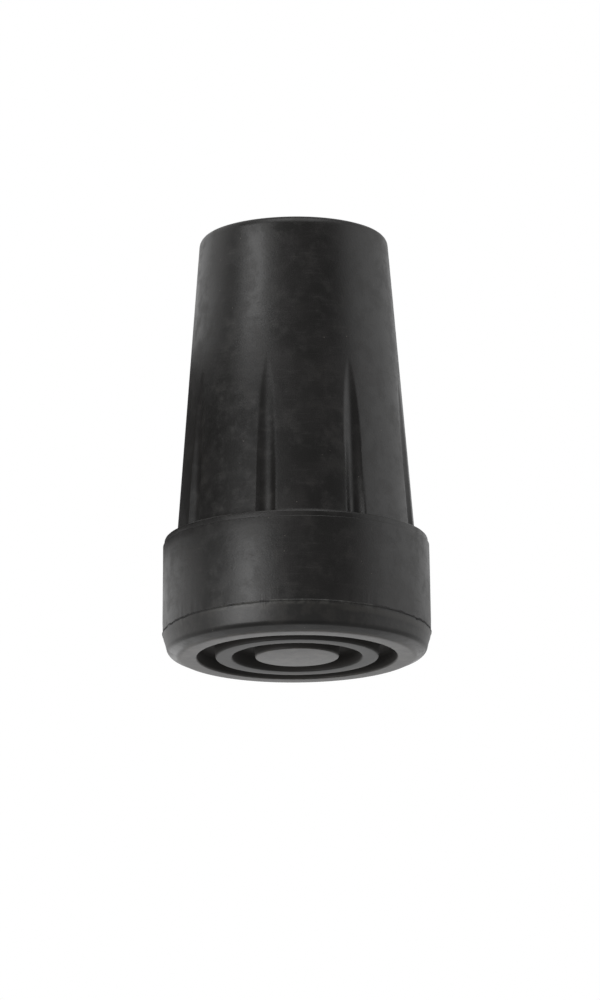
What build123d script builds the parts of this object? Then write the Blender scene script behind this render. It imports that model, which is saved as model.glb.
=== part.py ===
# Rubber cane tip, moulded in one piece, in millimetres.
# It stands on its tread. The origin is the middle of the tread and +Z runs up the socket.

import os
from math import atan2, hypot, radians, tan

from build123d import *

# The socket that the cane is pushed into, a little narrower than the cane
cane_diameter = 19.0
socket_squeeze = 0.3
socket_floor_height = 15.0
socket_floor_round = 1.2
mouth_lead_in = 1.0

# The sleeve round the socket
overall_height = 61.2
mouth_wall = 4.0
mouth_round = 1.3

# The collar, widest at the line where the two halves of the mould met
tread_diameter = 38.0
collar_height = 17.1
collar_draft_angle = 0.65
parting_height = 4.0
flash_proud = 0.1
flash_thickness = 0.3

# The edge below the flash, a drafted wall and then a shallow chamfer, both with rounded corners
edge_wall_inset = 0.65
edge_wall_height = 0.85
edge_wall_round = 1.0
edge_land_inset = 2.5
edge_land_round = 1.2
least_land_width = 0.45
least_straight = 0.05

# The small stepped lip round the top of the collar, and the shoulder inside it
lip_height = 0.9
lip_step = 0.2
lip_round = 0.35
collar_edge_round = 0.15
shoulder_width = 1.75
sleeve_foot_round = 0.6

# The flutes, round-bottomed grooves that lean less than the sleeve and so fade out in its taper
flute_count = 8
flute_radius = 1.5
flute_depth = 0.95
flute_tip_height = 40.0
flute_overrun = 8.0

# The tread's rings and grooves, from the middle outwards
button_diameter = 11.8
inner_groove_width = 3.3
ring_width = 2.3
outer_groove_width = 2.7
groove_depth = 2.0
groove_draft_angle = 8.0
groove_floor_round = 0.5
tread_corner_round = 0.25

# Radii that follow from the sizes above
socket_radius = (cane_diameter - socket_squeeze) / 2
mouth_radius = socket_radius + mouth_wall
parting_radius = tread_diameter / 2
collar_top_radius = parting_radius - (collar_height - parting_height) * tan(radians(collar_draft_angle))
lip_radius = collar_top_radius - lip_step
sleeve_foot_radius = lip_radius - shoulder_width
button_radius = button_diameter / 2
ring_inner_radius = button_radius + inner_groove_width
ring_outer_radius = ring_inner_radius + ring_width
outer_land_radius = ring_outer_radius + outer_groove_width

# A flute's bottom runs from its depth at the shoulder to the sleeve's own radius at the tip
taper_slope = (sleeve_foot_radius - mouth_radius) / (overall_height - collar_height)
flute_rise = flute_tip_height - collar_height
flute_foot_radius = sleeve_foot_radius - flute_depth
flute_tip_radius = sleeve_foot_radius - taper_slope * flute_rise
flute_run = flute_foot_radius - flute_tip_radius
lip_foot_height = collar_height - lip_height

# The chamfer at the tread's edge leaves at least a narrow flat land outside the outer groove
edge_wall_radius = parting_radius - edge_wall_inset
edge_land_radius = max(parting_radius - edge_land_inset, outer_land_radius + least_land_width)
chamfer_turn = atan2(edge_wall_height, edge_wall_radius - edge_land_radius)

# The round between land and chamfer ends before the rounded corner of the outer groove
land_room = edge_land_radius - outer_land_radius - tread_corner_round - least_straight
land_round = min(edge_land_round, land_room / tan(chamfer_turn / 2))

with BuildPart() as rubber_tip:
    # The outside, turned about the socket's axis
    with BuildSketch(Plane.XZ):
        with BuildLine():
            Polyline(
                (0, 0),
                (edge_land_radius, 0),
                (edge_wall_radius, edge_wall_height),
                (parting_radius, parting_height - flash_thickness / 2),
                (parting_radius + flash_proud, parting_height),
                (parting_radius, parting_height + flash_thickness / 2),
                (collar_top_radius, lip_foot_height),
                (lip_radius, lip_foot_height),
                (lip_radius, collar_height),
                (sleeve_foot_radius, collar_height),
                (mouth_radius, overall_height),
                (0, overall_height),
                close=True,
            )
        make_face()
    revolve(axis=Axis.Z)
    rims = rubber_tip.edges().filter_by(GeomType.CIRCLE).sort_by(Axis.Z)
    collar_rim = rims.filter_by_position(Axis.Z, lip_foot_height, lip_foot_height).sort_by(SortBy.RADIUS)[-1]
    shoulder_rims = rims.filter_by_position(Axis.Z, collar_height, collar_height).sort_by(SortBy.RADIUS)
    fillet(rims[0], land_round)
    fillet(rims[1], edge_wall_round)
    fillet(rims[-1], mouth_round)
    fillet(collar_rim, collar_edge_round)
    fillet(shoulder_rims[-1], lip_round)
    fillet(shoulder_rims[0], sleeve_foot_round)

    # Each flute is cut by a slanted bar that starts flush with the shoulder and runs out past its tip
    with BuildSketch(Plane.XY.offset(collar_height), mode=Mode.PRIVATE) as flute_end:
        with Locations((flute_foot_radius + flute_radius, 0)):
            Circle(flute_radius)
    flute_bar = extrude(
        flute_end.sketch,
        amount=flute_overrun + hypot(flute_rise, flute_run),
        dir=(-flute_run, 0, flute_rise),
        mode=Mode.PRIVATE,
    )
    with PolarLocations(0, flute_count):
        add(flute_bar, mode=Mode.SUBTRACT)

    # The blind socket, with a rounded floor and a rounded lead-in at its mouth
    with BuildSketch(Plane.XY.offset(overall_height)):
        Circle(socket_radius)
    extrude(amount=socket_floor_height - overall_height, mode=Mode.SUBTRACT)
    socket_wall = rubber_tip.faces().filter_by(GeomType.CYLINDER).sort_by(SortBy.AREA)[-1]
    socket_rims = socket_wall.edges().filter_by(GeomType.CIRCLE).sort_by(Axis.Z)
    fillet(socket_rims[0], socket_floor_round)
    fillet(socket_rims[-1], mouth_lead_in)

    # The two ring grooves in the tread, each a turned trapezium with drafted sides
    draft = groove_depth * tan(radians(groove_draft_angle))
    with BuildSketch(Plane.XZ):
        for inner, outer in ((button_radius, ring_inner_radius), (ring_outer_radius, outer_land_radius)):
            with BuildLine():
                Polyline(
                    (inner, 0),
                    (outer, 0),
                    (outer - draft, groove_depth),
                    (inner + draft, groove_depth),
                    close=True,
                )
            make_face()
    revolve(axis=Axis.Z, mode=Mode.SUBTRACT)
    turned_edges = rubber_tip.edges().filter_by(GeomType.CIRCLE)
    groove_floors = turned_edges.filter_by_position(Axis.Z, groove_depth, groove_depth)
    tread_corners = turned_edges.filter_by_position(Axis.Z, 0, 0).sort_by(SortBy.RADIUS)[:-1]
    fillet(groove_floors, groove_floor_round)
    fillet(tread_corners, tread_corner_round)

rubber_tip.part.label = "rubber_tip"
os.makedirs("parts", exist_ok=True)
export_step(rubber_tip.part, "parts/rubber_tip.step")
print("solids", len(rubber_tip.part.solids()), "volume", round(rubber_tip.part.volume, 1))
print("box", rubber_tip.part.bounding_box())
print("mouth radius", round(mouth_radius, 3), "sleeve foot radius", round(sleeve_foot_radius, 3))
print("flute foot radius", round(flute_foot_radius, 3), "tip radius", round(flute_tip_radius, 3))
print("chamfer from", round(edge_land_radius, 3), "to", round(edge_wall_radius, 3), "round", round(land_round, 3))
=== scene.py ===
# %% [markdown]
# A rubber cane tip. The real one is pressed from black rubber in a hot steel mould, in one shot:
# the sleeve that the cane is pushed into, the wide collar and the grooved tread are one piece. The
# CAD model that this file loads has the same body with plain faces. Here one finer mesh takes its
# place, with the soft edges, the uneven mould seam and the satin skin of the real thing.

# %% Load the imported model
from math import atan2, cos, hypot, pi, radians, sin, tan

import bmesh
import bpy
from mathutils import Matrix, Vector, noise


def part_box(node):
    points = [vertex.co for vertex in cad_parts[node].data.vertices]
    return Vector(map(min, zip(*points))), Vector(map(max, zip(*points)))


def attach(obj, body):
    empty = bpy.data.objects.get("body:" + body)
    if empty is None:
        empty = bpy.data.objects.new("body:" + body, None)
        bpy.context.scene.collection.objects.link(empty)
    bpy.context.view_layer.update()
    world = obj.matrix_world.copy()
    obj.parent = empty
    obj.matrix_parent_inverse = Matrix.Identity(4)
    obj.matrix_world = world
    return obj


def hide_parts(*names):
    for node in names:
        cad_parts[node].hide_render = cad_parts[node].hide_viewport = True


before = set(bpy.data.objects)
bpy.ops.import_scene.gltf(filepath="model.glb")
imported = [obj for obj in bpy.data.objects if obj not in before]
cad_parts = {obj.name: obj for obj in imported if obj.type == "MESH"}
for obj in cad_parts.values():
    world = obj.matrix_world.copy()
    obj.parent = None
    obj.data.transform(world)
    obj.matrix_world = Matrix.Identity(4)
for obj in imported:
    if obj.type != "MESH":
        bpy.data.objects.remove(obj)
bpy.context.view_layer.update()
tip_low, tip_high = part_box("rubber_tip")
print("the tip spans", [round(1000 * (high - low), 2) for low, high in zip(tip_low, tip_high)], "mm")


# %% [markdown]
# Blender counts in metres, while the sizes of a small moulding are easier to read in millimetres.
# So the tip's sizes are written in millimetres, and one function turns them. Only the lamps, the
# floor and the camera's distance are big enough to be written in metres.

# %% Millimetres
MM = 0.001


def mm(length):
    return length * MM


print("a length of 25 mm is", mm(25), "m")


# %% [markdown]
# The collar is widest at the seam where the two halves of the mould met. Its side is drafted both
# up and down from there, so that the rubber comes out of the steel. A small stepped lip runs round
# its top, and the sleeve tapers from the shoulder inside that lip to the mouth. The box of the CAD
# model gives the overall height and the radius out to the flash, which is the thin fin of rubber on
# the seam. The other sizes are those that the CAD model was drawn to.

# %% Sizes of the collar and the sleeve
overall_height = tip_high[2] / MM
flash_radius = tip_high[0] / MM
flash_proud = 0.1
flash_thickness = 0.3
collar_radius = flash_radius - flash_proud
collar_draft = tan(radians(0.65))
seam_height = 4.0
lip_foot_height = 16.2
lip_step = 0.2
shoulder_height = 17.1
shoulder_width = 1.75
collar_top_radius = collar_radius - (shoulder_height - seam_height) * collar_draft
lip_radius = collar_top_radius - lip_step
sleeve_foot_radius = lip_radius - shoulder_width
mouth_radius = 13.35
socket_radius = 9.35
socket_floor_height = 15.0
print("collar radius", round(collar_radius, 3), "mm, sleeve foot radius", round(sleeve_foot_radius, 3), "mm")


# %% [markdown]
# The tread stands on a centre button, a ring and an outer land, with two grooves between them that
# clear water from under the tip. The grooves' sides are drafted too. Outside the land comes a
# shallow chamfer, and then a short wall up to the seam.

# %% Sizes of the tread
button_radius = 5.9
ring_inner_radius = 9.2
ring_outer_radius = 11.5
outer_land_radius = 14.2
groove_depth = 2.0
groove_draft = groove_depth * tan(radians(8))
edge_land_radius = 16.5
edge_wall_inset = 0.65
edge_wall_radius = collar_radius - edge_wall_inset
edge_wall_foot = 0.85
print("ring", ring_inner_radius, "to", ring_outer_radius, "mm, land out to", edge_land_radius, "mm")


# %% [markdown]
# The photograph was taken from a little below the tread, from far away with a long lens, so that
# the sides hardly converge. A camera is placed by the direction it looks from and its distance. It
# needs no shift, because it points straight at the middle of the picture, and a small roll leans
# the tip as it leans in the photograph. The lamps and the room are placed by their angle from the
# camera later on, so its own angle round the tip is kept.

# %% Camera
view_azimuth = radians(14.7)
camera_angle = view_azimuth - pi / 2
view_elevation = radians(-14.04)
view_distance = 1.2
orbit_centre = Vector((0, 0, mm(30)))
aim_height = mm(22.9)
aim_right = mm(0.6)
camera_roll = radians(-0.5)
lens_length = 304.3

towards_camera = Vector((
    sin(view_azimuth) * cos(view_elevation),
    -cos(view_azimuth) * cos(view_elevation),
    sin(view_elevation),
))
camera_right = Vector((cos(view_azimuth), sin(view_azimuth), 0))
camera_data = bpy.data.cameras.new("camera")
camera_data.lens = lens_length
camera_data.sensor_width = 36
camera_data.clip_start = 0.05
camera = bpy.data.objects.new("camera", camera_data)
bpy.context.scene.collection.objects.link(camera)
camera.location = orbit_centre + view_distance * towards_camera
aim_point = Vector((0, 0, aim_height)) + aim_right * camera_right
gaze = (aim_point - camera.location).to_track_quat("-Z", "Y")
camera.rotation_euler = (gaze.to_matrix() @ Matrix.Rotation(camera_roll, 3, "Z")).to_euler()
bpy.context.scene.camera = camera
print("camera at", [round(value, 3) for value in camera.location], "m")


# %% [markdown]
# Apart from its flutes the tip is a turned shape, so half of its outline is drawn and spun. The
# outline is a chain of corners, from the middle of the tread out, up the outside, over the mouth
# and down into the socket. Each corner has the radius that the mould has there, and 0 leaves it
# sharp, as it is beside the flash, where the mould's two halves met.

# %% The corners of the outline, as radius, height and rounding
tread_corner_round = 0.25
groove_floor_round = 0.5
outline = [(0, 0, 0)]
for inner, outer in ((button_radius, ring_inner_radius), (ring_outer_radius, outer_land_radius)):
    outline += [
        (inner, 0, tread_corner_round),
        (inner + groove_draft, groove_depth, groove_floor_round),
        (outer - groove_draft, groove_depth, groove_floor_round),
        (outer, 0, tread_corner_round),
    ]
outline += [
    (edge_land_radius, 0, 1.2),
    (edge_wall_radius, edge_wall_foot, 1.0),
    (collar_radius, seam_height - flash_thickness / 2, 0),
    (flash_radius, seam_height, 0.04),
    (collar_radius, seam_height + flash_thickness / 2, 0),
    (collar_top_radius, lip_foot_height, 0.15),
    (lip_radius, lip_foot_height, 0.06),
    (lip_radius, shoulder_height, 0.35),
    (sleeve_foot_radius, shoulder_height, 0.6),
    (mouth_radius, overall_height, 1.3),
    (socket_radius, overall_height, 1.0),
    (socket_radius, socket_floor_height, 1.2),
    (0, socket_floor_height, 0),
]
print(len(outline), "corners in the outline")


# %% [markdown]
# The corners become vertices, joined by edges into a wire. The arcs could be worked out point by
# point, but a vertex bevel rounds a corner of a wire by itself. It asks how far to go back along
# both edges, which for an arc of a given radius is that radius divided by the tangent of half the
# angle between the edges. The larger the arc, the more segments it gets.

# %% Draw the outline and round its corners
base_segments = 3
segments_for_each_mm = 2.5
least_segments = 5


def draw_outline(mesh, corners):
    verts = [mesh.verts.new((mm(radius), 0, mm(height))) for radius, height, _ in corners]
    for first, second in zip(verts, verts[1:]):
        mesh.edges.new((first, second))
    bevels = []
    for before, vert, after, (_, _, rounding) in zip(verts, verts[1:], verts[2:], corners[1:]):
        if rounding > 0:
            opening = (before.co - vert.co).angle(after.co - vert.co)
            segments = max(least_segments, round(base_segments + segments_for_each_mm * rounding))
            bevels.append((vert, mm(rounding) / tan(opening / 2), segments))
    for vert, setback, segments in bevels:
        bmesh.ops.bevel(
            mesh, geom=[vert], offset=setback, offset_type="OFFSET",
            segments=segments, profile=0.5, affect="VERTICES", material=-1,
        )


moulding = bmesh.new()
draw_outline(moulding, outline)
print(len(moulding.verts), "points after rounding")


# %% [markdown]
# Before the outline is spun, its long straight edges are cut into shorter ones, so that the mesh
# has rows where the surface will be worked later: close rows along the fluted part of the sleeve,
# and wider ones elsewhere. The sleeve's side is one edge, so it is split a little above the
# flutes' tips first, and its two parts then get rows of their own. Each band of rows is given by
# its row height and by the heights between which an edge has to lie.

# %% Cut the long edges into rows
flute_tip_height = 40.0
outside_radius = socket_radius + 1


def cut_into_rows(mesh, longest, lowest, highest):
    for edge in list(mesh.edges):
        heights = [vert.co.z for vert in edge.verts]
        outside = max(vert.co.x for vert in edge.verts) > mm(outside_radius)
        if outside and min(heights) >= mm(lowest) and max(heights) <= mm(highest):
            cuts = round(edge.calc_length() / mm(longest)) - 1
            if cuts > 0:
                bmesh.ops.subdivide_edges(mesh, edges=[edge], cuts=cuts)


outside_edges = [edge for edge in moulding.edges if edge.verts[0].co.x > mm(outside_radius)]
sleeve_side = max(outside_edges, key=lambda edge: edge.calc_length())
lower_vert = min(sleeve_side.verts, key=lambda vert: vert.co.z)
upper_vert = sleeve_side.other_vert(lower_vert)
flute_share = (mm(flute_tip_height + 1) - lower_vert.co.z) / (upper_vert.co.z - lower_vert.co.z)
bmesh.utils.edge_split(sleeve_side, lower_vert, flute_share)
for row_height, band_foot, band_top in (
    (0.62, shoulder_height, flute_tip_height + 1.1),
    (2.5, flute_tip_height + 0.9, overall_height),
    (1.2, seam_height, lip_foot_height),
    (0.7, 0.5, seam_height),
    (1.3, -0.1, 0.1),
):
    cut_into_rows(moulding, row_height, band_foot, band_top)
print(len(moulding.edges), "rows")


# %% [markdown]
# A full spin of the wire makes the closed body. Its last column meets the first, and its two ends
# lie on the axis, so doubled vertices are merged and the normals are pointed outwards. The number
# of columns is a multiple of the number of flutes, so that every flute gets the same ones.

# %% Spin the outline round the socket's axis
flute_count = 8
columns_per_flute = 62


def spin_outline(mesh, steps):
    bmesh.ops.spin(
        mesh, geom=mesh.verts[:] + mesh.edges[:], cent=(0, 0, 0), axis=(0, 0, 1),
        dvec=(0, 0, 0), angle=2 * pi, steps=steps, use_merge=True,
    )
    bmesh.ops.remove_doubles(mesh, verts=mesh.verts[:], dist=mm(0.0005))
    bmesh.ops.recalc_face_normals(mesh, faces=mesh.faces[:])


spin_outline(moulding, flute_count * columns_per_flute)
print(len(moulding.faces), "faces after the spin")


# %% [markdown]
# The flutes are eight upright grooves with round bottoms. They lean in less than the sleeve tapers,
# so each gets shallower and fades out to a point part of the way up. A boolean would cut them too,
# but it leaves a knife edge at each lip. The columns of the spun mesh are gathered towards the
# flutes instead, so that each flute has enough of them.

# %% Gather the columns towards the flutes
gathering = 0.75


def turn_to(vert, radius, angle):
    vert.co.x = radius * cos(angle)
    vert.co.y = radius * sin(angle)


def gather_columns(mesh):
    for vert in mesh.verts:
        angle = atan2(vert.co.y, vert.co.x)
        radius = hypot(vert.co.x, vert.co.y)
        turn_to(vert, radius, angle - gathering * sin(flute_count * angle) / flute_count)


gather_columns(moulding)
print("columns stand", round(1 / (1 - gathering), 1), "times as close in a flute as they did")


# %% [markdown]
# A flute is the print of a round bar, laid against the sleeve with a slant. Its surface is written
# as a radius from the socket's axis at each angle and height: the radius of its bottom there, and
# the rise from the bottom to either side. Near a lip the arc of the bar would turn back, so from
# there it goes on as a straight slope.

# %% The surface of a flute
flute_radius = 1.5
flute_depth = 0.95
steepest_share = 0.9
taper_slope = (sleeve_foot_radius - mouth_radius) / (overall_height - shoulder_height)
flute_rise = flute_tip_height - shoulder_height
flute_slope = taper_slope - flute_depth / flute_rise


def groove_rise(across):
    steepest = steepest_share * flute_radius
    reach = min(across, steepest)
    drop = (flute_radius ** 2 - reach ** 2) ** 0.5
    return flute_radius - drop + (across - reach) * reach / drop


def groove_face(radius, angle, height):
    pitch = 2 * pi / flute_count
    offset = (angle + pitch / 2) % pitch - pitch / 2
    bottom = sleeve_foot_radius - flute_depth - flute_slope * (height - shoulder_height)
    return mm(bottom + groove_rise(abs(radius * sin(offset)) / MM)) / cos(offset)


print("the sleeve tapers", round(taper_slope, 4), "and a flute", round(flute_slope, 4), "mm for each mm")


# %% [markdown]
# Every vertex that lies outside a flute's surface is pressed in to it. A plain minimum of the two
# radii would leave the lips sharp, while rubber fills the corner of a mould softly, so a smooth
# minimum rolls them over. The rolling gets tighter towards the tip, where the flute is shallow.

# %% Press the flutes in
lip_softness = 0.45
softness_fade = 8
least_softness_share = 0.02
press_above_shoulder = 0.001
press_above_tips = 3


def smooth_minimum(first, second, softness):
    blend = min(max(0.5 + 0.5 * (second - first) / softness, 0), 1)
    return second * (1 - blend) + first * blend - softness * blend * (1 - blend)


def press_flutes(mesh):
    pressed = 0
    for vert in mesh.verts:
        radius = hypot(vert.co.x, vert.co.y)
        angle = atan2(vert.co.y, vert.co.x)
        height = vert.co.z / MM
        clear_of_shoulder = height > shoulder_height + press_above_shoulder
        on_flutes = clear_of_shoulder and height < flute_tip_height + press_above_tips
        if not on_flutes or radius < mm(mouth_radius):
            continue
        fade = min(max((flute_tip_height - height) / softness_fade, least_softness_share), 1)
        face = groove_face(radius, angle, height)
        pressed_radius = smooth_minimum(radius, face, mm(lip_softness) * fade)
        if pressed_radius < radius:
            turn_to(vert, pressed_radius, angle)
            pressed += 1
    return pressed


print(press_flutes(moulding), "vertices pressed into the flutes")


# %% [markdown]
# Where the two halves of the mould met, a little rubber squeezed out and was torn off by hand. The
# flash that is left is uneven: it stands proud in places and is torn back in others. The halves
# gaped a little on two opposite sides, and there the line dips. Blender's noise, read on a circle
# as one goes round the tip, gives values that join up after a full turn. Each use reads it on a
# level of its own, so that no two of them agree.

# %% How the seam runs round the tip
dip_depth = 0.6
gape_dip_share = 0.9
wander_share = 0.12
wander_fineness = 3.1
tear_fineness = 22
torn_back = 0.08
tight_side = camera_angle


def noise_round_tip(angle, fineness, level):
    return noise.noise(Vector((fineness * cos(angle), fineness * sin(angle), level)))


def seam_gape(angle):
    return 0.5 - 0.5 * cos(2 * (angle - tight_side))


def seam_dip(angle):
    wander = noise_round_tip(angle, wander_fineness, 7.0)
    return dip_depth * (seam_gape(angle) * gape_dip_share + wander_share * wander)


def torn_depth(angle):
    coarse = noise_round_tip(angle, tear_fineness, 2.0)
    fine = noise_round_tip(angle, 3 * tear_fineness, 6.0)
    return torn_back * min(max(0.5 + 0.5 * coarse + 0.35 * fine, 0), 1)


dips = [seam_dip(radians(turn)) for turn in range(360)]
print("the seam dips by", round(min(dips), 2), "to", round(max(dips), 2), "mm")


# %% [markdown]
# The rows of the flash and of the band round it are moved down by the dip, less and less with
# distance from the seam, and the flash itself is torn back. The dirt, the scuffs and the painted
# shade and highlight along the seam have to follow this crooked line, so each vertex also keeps two
# numbers for it: how far above the seam it was before it moved, and how far the seam gapes on its side.

# %% Wear the seam
dip_reach = 2.2
band_depth = 1.5


def wear_seam(mesh):
    above_layer = mesh.verts.layers.float.new("above_seam")
    gape_layer = mesh.verts.layers.float.new("gape")
    moved = 0
    for vert in mesh.verts:
        radius = hypot(vert.co.x, vert.co.y)
        angle = atan2(vert.co.y, vert.co.x)
        above = vert.co.z / MM - seam_height
        vert[above_layer] = above
        vert[gape_layer] = seam_gape(angle)
        if radius < mm(collar_radius - band_depth) or abs(above) > dip_reach:
            continue
        near = (1 - (abs(above) / dip_reach) ** 2) ** 2
        vert.co.z -= mm(seam_dip(angle)) * near
        moved += 1
        if abs(above) < flash_thickness:
            turn_to(vert, radius - mm(torn_depth(angle)), angle)
    return moved


print(wear_seam(moulding), "vertices moved round the seam")


# %% [markdown]
# A moulding is never quite true: thick rubber shrinks as it cools, so its faces sink by a few
# hundredths of a millimetre here and there. Slow noise moves them inwards only, so that the tip
# stays inside its real size.

# %% Let the faces sink a little
sink_depth = 0.03
sink_patch = 9


def sink_faces(mesh, depth, patch_size):
    mesh.normal_update()
    for vert in mesh.verts:
        sink = 0.5 + 0.5 * noise.noise(vert.co / mm(patch_size))
        vert.co -= vert.normal * mm(depth) * min(max(sink, 0), 1)


sink_faces(moulding, sink_depth, sink_patch)
bmesh.ops.recalc_face_normals(moulding, faces=moulding.faces[:])
print("closed", all(edge.is_manifold for edge in moulding.edges))


# %% [markdown]
# Shading is smooth over the whole body. Only the edges of the flash, which turn sharply, are marked
# sharp, because smooth shading would draw streaks from them over the collar. The finished mesh then
# takes the place of the CAD node, which is hidden: it rides on the same body, and gets its material below.

# %% Make the piece and give it its place in the frame
sharpest_smooth = radians(20)
for face in moulding.faces:
    face.smooth = True
for edge in moulding.edges:
    edge.smooth = edge.calc_face_angle(0) < sharpest_smooth
print("triangles", sum(len(face.verts) - 2 for face in moulding.faces))

tip_mesh = bpy.data.meshes.new("moulded_tip")
moulding.to_mesh(tip_mesh)
moulding.free()
moulded_tip = bpy.data.objects.new("moulded_tip", tip_mesh)
bpy.context.scene.collection.objects.link(moulded_tip)
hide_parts("rubber_tip")
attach(moulded_tip, "root")


# %% [markdown]
# Every colour is written as the hex value that a picture editor shows. Blender's sockets want
# linear light, so one function turns the one into the other. Another small function adds a node
# with its settings, and gives each input either a fixed value or a link from another node.

# %% Helpers for colours and nodes
def linear(hex_colour):
    parts = [int(hex_colour[start:start + 2], 16) / 255 for start in (1, 3, 5)]
    light = [part / 12.92 if part <= 0.04045 else ((part + 0.055) / 1.055) ** 2.4 for part in parts]
    return (*light, 1)


def add_node(tree, kind, settings=None, inputs=None):
    node = tree.nodes.new(kind)
    for name, value in (settings or {}).items():
        setattr(node, name, value)
    for name, value in (inputs or {}).items():
        if isinstance(value, bpy.types.NodeSocket):
            tree.links.new(value, node.inputs[name])
        else:
            node.inputs[name].default_value = value
    return node


print("middle grey in linear light is", round(linear("#808080")[0], 3))


# %% [markdown]
# The rubber is a carbon black compound, compression moulded. Pressed against polished steel it
# comes out with a satin skin: low gloss, a little waxy, never quite even, because wax creeps to the
# surface as bloom, and hands and packing leave smears. One material does it all, on noise of
# several sizes. Smears are about a centimetre wide and the mottle of the bloom some millimetres.
# Noise that is stretched along the axis makes the faint draw marks that the mould left as the tip
# was pulled out. The skin's own grain is finer than the picture can show, so it is drawn at 0.3 mm.

# %% Satin black moulded rubber, and the noise it is made of
smear_size = 11
mottle_size = 2.4
draw_mark_width = 1.1
draw_mark_stretch = 0.06
grain_size = 0.3


def scale_for(size):
    return 1 / mm(size)


rubber = bpy.data.materials.new("moulded_black_rubber")
rubber.use_nodes = True
tree = rubber.node_tree
tree.nodes.clear()
place = add_node(tree, "ShaderNodeTexCoord").outputs["Object"]
smears = add_node(tree, "ShaderNodeTexNoise", {}, {
    "Scale": scale_for(smear_size), "Detail": 5.0, "Roughness": 0.6, "Distortion": 0.6, "Vector": place,
}).outputs["Fac"]
mottle = add_node(tree, "ShaderNodeTexNoise", {}, {
    "Scale": scale_for(mottle_size), "Detail": 6.0, "Roughness": 0.65, "Vector": place,
}).outputs["Fac"]
upright = add_node(tree, "ShaderNodeMapping", {}, {"Scale": (1, 1, draw_mark_stretch), "Vector": place})
draw_marks = add_node(tree, "ShaderNodeTexNoise", {}, {
    "Scale": scale_for(draw_mark_width), "Detail": 4.0, "Roughness": 0.65,
    "Vector": upright.outputs["Vector"],
}).outputs["Fac"]
grain = add_node(tree, "ShaderNodeTexNoise", {}, {
    "Scale": scale_for(grain_size), "Detail": 3.0, "Roughness": 0.6, "Vector": place,
}).outputs["Fac"]
print("smears are", smear_size, "mm wide and the mottle", mottle_size, "mm")


# %% [markdown]
# Places on the tip are picked out by height and by distance from the axis, both read from Object
# coordinates, in metres, and by the two numbers that the vertices keep for the seam.

# %% Where on the tip a point is
parts_of_place = add_node(tree, "ShaderNodeSeparateXYZ", {}, {"Vector": place})
height_here = parts_of_place.outputs["Z"]
flat_place = add_node(tree, "ShaderNodeCombineXYZ", {}, {
    "X": parts_of_place.outputs["X"], "Y": parts_of_place.outputs["Y"],
}).outputs["Vector"]
radius_here = add_node(
    tree, "ShaderNodeVectorMath", {"operation": "LENGTH"}, {0: flat_place},
).outputs["Value"]
above_seam = add_node(tree, "ShaderNodeAttribute", {"attribute_name": "above_seam"}).outputs["Fac"]
gape = add_node(tree, "ShaderNodeAttribute", {"attribute_name": "gape"}).outputs["Fac"]
kept_numbers = [layer.name for layer in tip_mesh.attributes if layer.data_type == "FLOAT"]
print("numbers kept by the vertices:", kept_numbers)


# %% [markdown]
# A zone is a share between 0 and 1 with soft borders. Each border fades one measure in, from a
# value outside the zone to one inside it, and the fades are multiplied. The tread has three zones,
# because each has its own finish: the faces that meet the floor are the greyest, the ring between
# the grooves is a little less so, and dust gathers in the grooves.

# %% Zones of the tread and the socket
def soft_zone(*borders):
    fades = [
        add_node(
            tree, "ShaderNodeMapRange", {"interpolation_type": "SMOOTHSTEP"},
            {"From Min": outside, "From Max": inside, "Value": measure},
        ).outputs["Result"]
        for measure, outside, inside in borders
    ]
    share = fades[0]
    for fade in fades[1:]:
        both = add_node(tree, "ShaderNodeMath", {"operation": "MULTIPLY"}, {0: share, 1: fade})
        share = both.outputs["Value"]
    return share


tread_border = (height_here, mm(0.35), mm(0.08))
on_tread = soft_zone(tread_border)
on_ring = soft_zone(
    tread_border,
    (radius_here, mm(ring_inner_radius - 0.3), mm(ring_inner_radius - 0.1)),
    (radius_here, mm(ring_outer_radius + 0.3), mm(ring_outer_radius + 0.1)),
)
in_grooves = soft_zone(
    (height_here, mm(0.1), mm(0.45)),
    (height_here, mm(groove_depth + 1), mm(groove_depth + 0.5)),
    (radius_here, mm(outer_land_radius + 0.4), mm(outer_land_radius + 0.1)),
)
# The socket is painted a little darker than the skin: painted shade in the recess.
in_socket = soft_zone(
    (radius_here, mm(socket_radius + 0.35), mm(socket_radius + 0.05)),
    (height_here, mm(socket_floor_height - 1), mm(socket_floor_height)),
)
print("4 zones made of", len(tree.nodes), "nodes so far")


# %% [markdown]
# Dust sits on rubber as pale specks. A Voronoi texture gives one cell for each possible speck: the
# distance to the cell's centre draws a dot, and the cell's own random colour decides whether there
# is a dot at all. A coarse and a fine sort of dust lie over each other.

# %% Dust specks
def specks(spacing, size, share):
    cells = add_node(
        tree, "ShaderNodeTexVoronoi", {"feature": "F1"},
        {"Scale": scale_for(spacing), "Randomness": 1.0, "Vector": place},
    )
    lot = add_node(tree, "ShaderNodeSeparateColor", {}, {"Color": cells.outputs["Color"]})
    return soft_zone(
        (cells.outputs["Distance"], size / spacing, 0.4 * size / spacing),
        (lot.outputs["Red"], 1 - share, 1.02 - share),
    )


coarse_dust = specks(spacing=3.6, size=0.15, share=0.12)
fine_dust = specks(spacing=1.1, size=0.06, share=0.2)
dust = add_node(
    tree, "ShaderNodeMath", {"operation": "MAXIMUM"}, {0: coarse_dust, 1: fine_dust},
).outputs["Value"]
print("two sorts of dust,", len(tree.nodes), "nodes so far")


# %% [markdown]
# Fine scuffs run round the tip, from being turned in packing and in the hand. The direction from
# the axis, without the distance, gives a vector that moves slowly round the tip, and noise that is
# read there with the true height comes out as thin level scratches.

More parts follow.
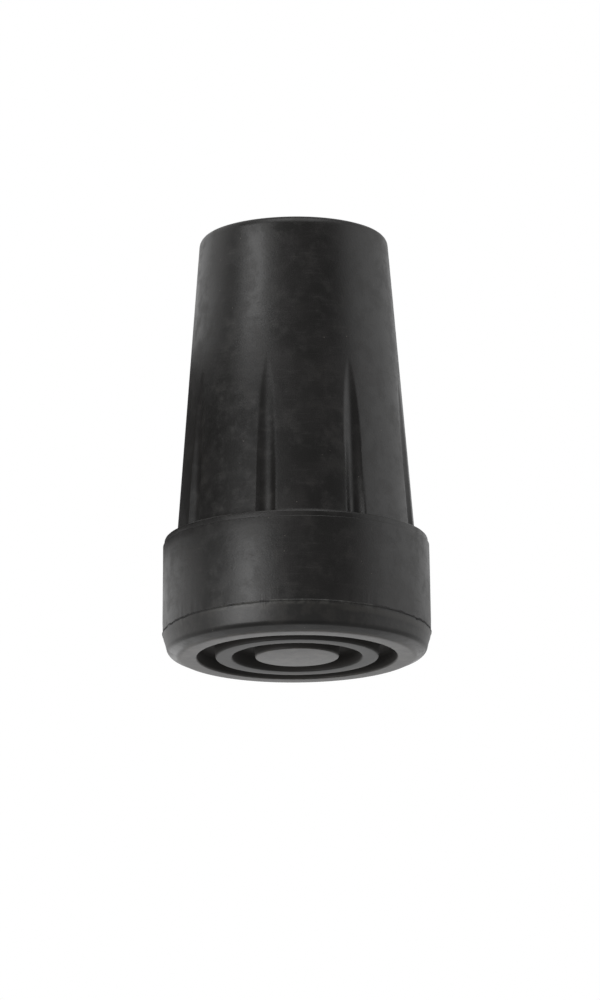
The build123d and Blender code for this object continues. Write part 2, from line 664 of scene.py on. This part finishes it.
# %% Scuffs round the tip
scuff_width = 0.45
scuff_circle = 1.6
direction = add_node(tree, "ShaderNodeVectorMath", {"operation": "NORMALIZE"}, {0: flat_place})
slow_place = add_node(
    tree, "ShaderNodeVectorMath", {"operation": "SCALE"},
    {0: direction.outputs["Vector"], "Scale": mm(scuff_circle)},
)
slow_parts = add_node(tree, "ShaderNodeSeparateXYZ", {}, {"Vector": slow_place.outputs["Vector"]})
scuff_place = add_node(tree, "ShaderNodeCombineXYZ", {}, {
    "X": slow_parts.outputs["X"], "Y": slow_parts.outputs["Y"], "Z": height_here,
})
scuffs = add_node(tree, "ShaderNodeTexNoise", {}, {
    "Scale": scale_for(scuff_width), "Detail": 5.0, "Roughness": 0.7,
    "Vector": scuff_place.outputs["Vector"],
}).outputs["Fac"]
print("scuffs are", scuff_width, "mm wide and", round(collar_radius / scuff_circle), "times as long")


# %% [markdown]
# The band below the seam is smudged more than the rest, since it rubs on the floor. A thin dark line
# of dirt and painted shade runs in the seam. It wanders up and down with the ragged edge of the torn
# rubber, and is painted blackest where the seam gapes. Where it is tight, the torn edge is painted
# paler instead, torn rubber with a painted highlight. The borders are in millimetres above the seam,
# as the vertices keep them.

# %% Dirt and painted shade in the seam, and a painted highlight on the torn edge
ragged_size = 1.3
ragged_height = 0.7
ragged = add_node(tree, "ShaderNodeTexNoise", {}, {
    "Scale": scale_for(ragged_size), "Detail": 4.0, "Vector": place,
}).outputs["Fac"]
raised = add_node(
    tree, "ShaderNodeMath", {"operation": "MULTIPLY_ADD"}, {0: ragged, 1: ragged_height, 2: above_seam},
)
centred = add_node(
    tree, "ShaderNodeMath", {"operation": "SUBTRACT"}, {0: raised.outputs["Value"], 1: ragged_height / 2},
)
from_line = add_node(tree, "ShaderNodeMath", {"operation": "ABSOLUTE"}, {0: centred.outputs["Value"]})
# The dark seam line is dirt and painted shade, painted blacker where the seam gapes open.
blackness = add_node(
    tree, "ShaderNodeMapRange", {"interpolation_type": "SMOOTHSTEP"},
    {"From Min": 0.15, "From Max": 0.85, "To Min": 0.25, "To Max": 0.8, "Value": gape},
)
on_line = soft_zone((from_line.outputs["Value"], 0.22, 0.06))
seam_dirt_and_shade = add_node(
    tree, "ShaderNodeMath", {"operation": "MULTIPLY"}, {0: on_line, 1: blackness.outputs["Result"]},
).outputs["Value"]
below_seam = soft_zone((above_seam, -0.05, -0.2), (above_seam, -3.3, -2.7))
# The paler line is torn rubber with a painted highlight, where the seam is tight.
torn_edge_and_highlight = soft_zone(
    (above_seam, -0.7, -0.3), (above_seam, 0.25, 0.05), (gape, 0.6, 0.2), (ragged, 0.42, 0.62),
)
smudges = soft_zone((above_seam, -0.2, -0.5), (above_seam, -1.6, -0.9), (smears, 0.48, 0.62))
# The wandering seam line is dirt and painted shade.
print("the line of dirt wanders", ragged_height, "mm")


# %% [markdown]
# Black rubber is never pure black: its skin is a very dark warm grey, bloom and scuffs are lighter,
# and the tread that meets the floor is worn greyest of all. The finishes are laid over each other
# in order, each in its own zone, as coats of paint would be. A Mix node has sockets of the same
# name for numbers and for colours, so they are picked by number: 0 is the share, 2 and 3 are the
# numbers it mixes, and 6 and 7 the colours.

# %% Colour
scuff_border = (scuffs, 0.52, 0.72)
smeared = soft_zone((smears, 0.42, 0.72))
two_tone = {}
for name, zone, darker, paler in (
    ("skin", smeared, "#181716", "#1e1c1b"),
    ("band", soft_zone((mottle, 0.4, 0.65)), "#1c1b1a", "#2b2927"),
    ("worn tread", soft_zone((mottle, 0.35, 0.7)), "#2b2927", "#46423d"),
):
    mix = add_node(tree, "ShaderNodeMix", {"data_type": "RGBA"}, {
        0: zone, 6: linear(darker), 7: linear(paler),
    })
    two_tone[name] = mix.outputs[2]

skin = two_tone["skin"]
colour_coats = (
    (soft_zone((mottle, 0.5, 0.8)), linear("#242220")),
    (soft_zone(scuff_border, (mottle, 0.45, 0.6)), linear("#282624")),
    (below_seam, two_tone["band"]),
    (smudges, linear("#33312e")),
    # torn rubber and a painted highlight on the tight seam
    (torn_edge_and_highlight, linear("#3d3c39")),
    # dirt and painted shade in the seam
    (seam_dirt_and_shade, linear("#0b0a0a")),
    (on_tread, two_tone["worn tread"]),
    (on_ring, linear("#1d1c1a")),
    (in_grooves, linear("#353331")),
    # painted shade inside the socket
    (in_socket, linear("#151413")),
    (dust, linear("#857f77")),
)
for zone, coat in colour_coats:
    mix = add_node(tree, "ShaderNodeMix", {"data_type": "RGBA"}, {0: zone, 6: skin, 7: coat})
    skin = mix.outputs[2]
print(len(colour_coats), "coats of colour over the skin")


# %% [markdown]
# Roughness is laid on in the same way. The clean skin is the glossiest, bloom and scuffs dull it,
# the tread is ground matt by the floor, and the dirt and dust in the grooves scatter light most.

# %% Roughness
clean_gloss = add_node(tree, "ShaderNodeMix", {"data_type": "FLOAT"}, {0: smeared, 2: 0.33, 3: 0.42})
gloss = clean_gloss.outputs[0]
roughness_coats = (
    (soft_zone((mottle, 0.42, 0.68)), 0.47),
    (soft_zone(scuff_border, (smears, 0.4, 0.6)), 0.5),
    (below_seam, 0.4),
    (on_tread, 0.5),
    (on_ring, 0.58),
    (in_grooves, 0.95),
    (seam_dirt_and_shade, 0.85),
    (dust, 0.9),
)
for zone, roughness in roughness_coats:
    mix = add_node(tree, "ShaderNodeMix", {"data_type": "FLOAT"}, {0: zone, 2: gloss, 3: roughness})
    gloss = mix.outputs[0]
print(len(roughness_coats), "coats of roughness over the skin")


# %% [markdown]
# Relief that is too shallow to model comes from bump nodes in a chain, each of which hands its
# normal to the next. Its depths are hundredths of a millimetre. The line of dirt and painted shade
# in the seam is pressed in, and everything else stands out.

# %% Relief and the finished material
relief = {}
for height, strength, depth, pressed_in in (
    (grain, 0.5, 0.012, False),
    (draw_marks, 0.5, 0.01, False),
    (scuffs, 0.5, 0.012, False),
    (mottle, 0.6, 0.05, False),
    (seam_dirt_and_shade, 0.6, 0.06, True),
):
    bump = add_node(tree, "ShaderNodeBump", {"invert": pressed_in}, {
        "Strength": strength, "Distance": mm(depth), "Height": height, **relief,
    })
    relief = {"Normal": bump.outputs["Normal"]}
shader = add_node(tree, "ShaderNodeBsdfPrincipled", {}, {
    "IOR": 1.52, "Base Color": skin, "Roughness": gloss, **relief,
})
add_node(tree, "ShaderNodeOutputMaterial", {}, {"Surface": shader.outputs["BSDF"]})
tip_mesh.materials.append(rubber)
print(len(tree.nodes), "nodes in", rubber.name)


# %% [markdown]
# The tip stands on a plain pale floor. It lies a little under the tread, so that the two never
# share a plane. The camera looks up at the tip from below the floor, so the floor shows only to
# camera rays that come from above, and every other ray goes through it. The views from above still
# see the floor and the tip's shadow on it.

# %% Floor
floor_half_width = 3
floor_gap = 0.4
floor_mesh = bpy.data.meshes.new("pale_floor")
plane = bmesh.new()
bmesh.ops.create_grid(plane, x_segments=1, y_segments=1, size=floor_half_width)
bmesh.ops.translate(plane, verts=plane.verts[:], vec=(0, 0, mm(-floor_gap)))
plane.to_mesh(floor_mesh)
plane.free()
pale_floor = bpy.data.objects.new("pale_floor", floor_mesh)
bpy.context.scene.collection.objects.link(pale_floor)

paint = bpy.data.materials.new("pale_floor_paint")
paint.use_nodes = True
floor_tree = paint.node_tree
floor_tree.nodes.clear()
ray = add_node(floor_tree, "ShaderNodeLightPath")
side = add_node(floor_tree, "ShaderNodeNewGeometry")
from_above = add_node(floor_tree, "ShaderNodeMath", {"operation": "SUBTRACT", "use_clamp": True}, {
    0: ray.outputs["Is Camera Ray"], 1: side.outputs["Backfacing"],
})
clear = add_node(floor_tree, "ShaderNodeBsdfTransparent")
matt = add_node(floor_tree, "ShaderNodeBsdfDiffuse", {}, {"Color": linear("#e9e8e6")})
floor_mix = add_node(floor_tree, "ShaderNodeMixShader", {}, {
    0: from_above.outputs["Value"], 1: clear.outputs["BSDF"], 2: matt.outputs["BSDF"],
})
add_node(floor_tree, "ShaderNodeOutputMaterial", {}, {"Surface": floor_mix.outputs["Shader"]})
floor_mesh.materials.append(paint)
print("floor", 2 * floor_half_width, "m wide")


# %% [markdown]
# A black thing is drawn by what it mirrors, so its surroundings matter more than its lamps. The
# studio is a world whose brightness depends on the direction. Two measures of the direction are
# needed: its compass angle, counted from the camera, and how steeply it points up or down.

# %% Directions in the studio
studio = bpy.data.worlds.new("studio")
bpy.context.scene.world = studio
studio.use_nodes = True
sky = studio.node_tree
sky.nodes.clear()
way = add_node(sky, "ShaderNodeTexCoord")
from_camera = add_node(sky, "ShaderNodeMapping", {"vector_type": "POINT"}, {
    "Rotation": (0, 0, -camera_angle), "Vector": way.outputs["Generated"],
})
parts_of_way = add_node(sky, "ShaderNodeSeparateXYZ", {}, {"Vector": from_camera.outputs["Vector"]})
compass = add_node(sky, "ShaderNodeMath", {"operation": "ARCTAN2"}, {
    0: parts_of_way.outputs["Y"], 1: parts_of_way.outputs["X"],
})
compass_share = add_node(sky, "ShaderNodeMapRange", {}, {
    "From Min": -pi, "From Max": pi, "Value": compass.outputs["Value"],
}).outputs["Result"]
steep_share = add_node(sky, "ShaderNodeMapRange", {}, {
    "From Min": -1.0, "From Max": 1.0, "Value": parts_of_way.outputs["Z"],
}).outputs["Result"]
print("compass and steepness from", len(sky.nodes), "nodes")


# %% [markdown]
# Behind the tip stands a pale backdrop, which reaches round on its right. The room behind the
# camera is darker. One ramp over the compass angle says how bright the room is on each side, a
# second one does the same for the table below, and a third dims what is straight above or straight
# below. Each stop is a compass angle in degrees, or a steepness, and the level there. A ramp holds
# nothing brighter than one, so the ramps hold shares of the brightest level.

# %% How bright the studio is in each direction
brightest = 1.6


def level_ramp(levels, source, start, end):
    ramp = add_node(sky, "ShaderNodeValToRGB", {}, {"Fac": source})
    stops = ramp.color_ramp.elements
    stops.remove(stops[-1])
    for number, (at, level) in enumerate(levels):
        position = (at - start) / (end - start)
        stop = stops[0] if number == 0 else stops.new(position)
        stop.position = position
        share = level / brightest
        stop.color = (share, share, share, 1)
    return ramp.outputs["Color"]


room = level_ramp([
    (-180, 0.6), (-150, 0.75), (-125, 0.98), (-100, 0.8), (-85, 0.26), (-62, 0.24), (-30, 0.22),
    (0, 0.17), (50, 0.12), (62, 0.5), (75, 1.0), (95, 1.0), (130, 0.65), (180, 0.6),
], compass_share, -180, 180)
ground = level_ramp([
    (-180, 1.55), (-160, 1.25), (-140, 0.6), (-90, 0.45), (-30, 0.32), (0, 0.28),
    (45, 0.26), (62, 0.45), (95, 0.6), (125, 0.35), (145, 0.5), (162, 1.25), (180, 1.55),
], compass_share, -180, 180)
dimming = level_ramp([
    (-1, 0.6), (-0.75, 0.65), (-0.35, 1.1), (0.0, 1.2), (0.26, 1.22), (0.42, 1.0), (0.55, 1.0),
    (0.85, 0.35),
], steep_share, -1, 1)
print("3 ramps up to level", brightest)


# %% [markdown]
# The room and the table blend into each other just under the horizon. Both their ramp and the
# dimming ramp hold shares, so the strength is multiplied by the brightest level twice. Camera rays
# don't see any of this: to them the backdrop is plain white, as in the photograph.

# %% The world of the studio
blend_depth = 0.18
strength = add_node(sky, "ShaderNodeMath", {"operation": "MULTIPLY"}, {0: dimming, 1: brightest ** 2})
below = add_node(sky, "ShaderNodeMapRange", {"interpolation_type": "SMOOTHSTEP"}, {
    "From Min": 0.0, "From Max": -blend_depth, "Value": parts_of_way.outputs["Z"],
})
surroundings = add_node(sky, "ShaderNodeMix", {"data_type": "RGBA"}, {
    0: below.outputs["Result"], 6: room, 7: ground,
})
round_light = add_node(sky, "ShaderNodeBackground", {}, {
    "Color": surroundings.outputs[2], "Strength": strength.outputs["Value"],
})
backdrop = add_node(sky, "ShaderNodeBackground", {}, {"Color": (1, 1, 1, 1), "Strength": 1.0})
path = add_node(sky, "ShaderNodeLightPath")
seen = add_node(sky, "ShaderNodeMath", {"operation": "MAXIMUM"}, {
    0: path.outputs["Is Camera Ray"], 1: path.outputs["Is Transmission Ray"],
})
sky_mix = add_node(sky, "ShaderNodeMixShader", {}, {
    0: seen.outputs["Value"], 1: round_light.outputs["Background"], 2: backdrop.outputs["Background"],
})
add_node(sky, "ShaderNodeOutputWorld", {}, {"Surface": sky_mix.outputs["Shader"]})
print(len(sky.nodes), "nodes in", studio.name)


# %% [markdown]
# Lamps are soft boxes round the tip. Each is placed by its compass angle from the camera, its
# height angle and its distance, and faces the tip. A lamp's brightness to the eye is its power
# divided by its area and by pi, so each is given the brightness that its mirror image needs.

# %% Soft boxes
def soft_box(name, compass_degrees, lift_degrees, distance, width, height, level, lean_degrees=0):
    lamp_data = bpy.data.lights.new(name, "AREA")
    lamp_data.shape = "RECTANGLE"
    lamp_data.size = width
    lamp_data.size_y = height
    lamp_data.energy = level * pi * width * height
    lamp = bpy.data.objects.new(name, lamp_data)
    bpy.context.scene.collection.objects.link(lamp)
    angle = camera_angle + radians(compass_degrees)
    lift = radians(lift_degrees)
    outward = Vector((cos(angle) * cos(lift), sin(angle) * cos(lift), sin(lift)))
    lamp.location = orbit_centre + distance * outward
    facing = outward.to_track_quat("Z", "Y").to_matrix()
    lamp.rotation_euler = (facing @ Matrix.Rotation(radians(lean_degrees), 3, "Z")).to_euler()
    lamp.visible_camera = False
    print(name, "power", round(lamp_data.energy, 2), "W")


soft_box(
    "left_soft_box", compass_degrees=-43, lift_degrees=18, distance=0.6,
    width=0.22, height=0.54, level=3.3, lean_degrees=28,
)
soft_box(
    "low_left_soft_box", compass_degrees=-48, lift_degrees=-12, distance=0.55,
    width=0.3, height=0.17, level=5.6,
)
soft_box(
    "top_soft_box", compass_degrees=0, lift_degrees=72, distance=0.9,
    width=0.8, height=0.7, level=1.5,
)


# %% [markdown]
# On the left the photograph's room is darker half way up, and the lower sleeve mirrors that. A
# black flag does this in a real studio: a card that stands close by, out of the picture, and only
# takes light out of the reflections. Here it is a curved band, an upright edge spun part of the
# way round the tip.

# %% Black flag
flag_distance = mm(50)
flag_low = mm(24)
flag_high = mm(57)
flag_start_degrees = -178
flag_sweep_degrees = 155
flag_steps = 24
flag_mesh = bpy.data.meshes.new("black_flag")
card = bmesh.new()
start_angle = camera_angle + radians(flag_start_degrees)
flag_ends = [
    card.verts.new((flag_distance * cos(start_angle), flag_distance * sin(start_angle), height))
    for height in (flag_low, flag_high)
]
flag_edge = card.edges.new(flag_ends)
bmesh.ops.spin(
    card, geom=[*flag_ends, flag_edge], cent=(0, 0, 0), axis=(0, 0, 1), dvec=(0, 0, 0),
    angle=radians(flag_sweep_degrees), steps=flag_steps,
)
print("flag of", len(card.faces), "faces")
card.to_mesh(flag_mesh)
card.free()
black_flag = bpy.data.objects.new("black_flag", flag_mesh)
bpy.context.scene.collection.objects.link(black_flag)


# %% [markdown]
# Black velvet gives back almost no light, and the same amount from every side. An emission shader
# at a low level does that without noise. The flag shows only in glossy reflections.

# %% Velvet for the flag
velvet_light = (0.05, 0.05, 0.05, 1)
velvet = bpy.data.materials.new("black_velvet")
velvet.use_nodes = True
velvet_tree = velvet.node_tree
velvet_tree.nodes.clear()
dark = add_node(velvet_tree, "ShaderNodeEmission", {}, {"Color": velvet_light, "Strength": 1.0})
add_node(velvet_tree, "ShaderNodeOutputMaterial", {}, {"Surface": dark.outputs["Emission"]})
flag_mesh.materials.append(velvet)
black_flag.visible_camera = False
black_flag.visible_diffuse = False
black_flag.visible_shadow = False
black_flag.visible_transmission = False
print(velvet.name, "on", black_flag.name)


# %% [markdown]
# The Standard view transform shows the colours as they were set.

# %% Finish
bpy.context.scene.view_settings.view_transform = "Standard"
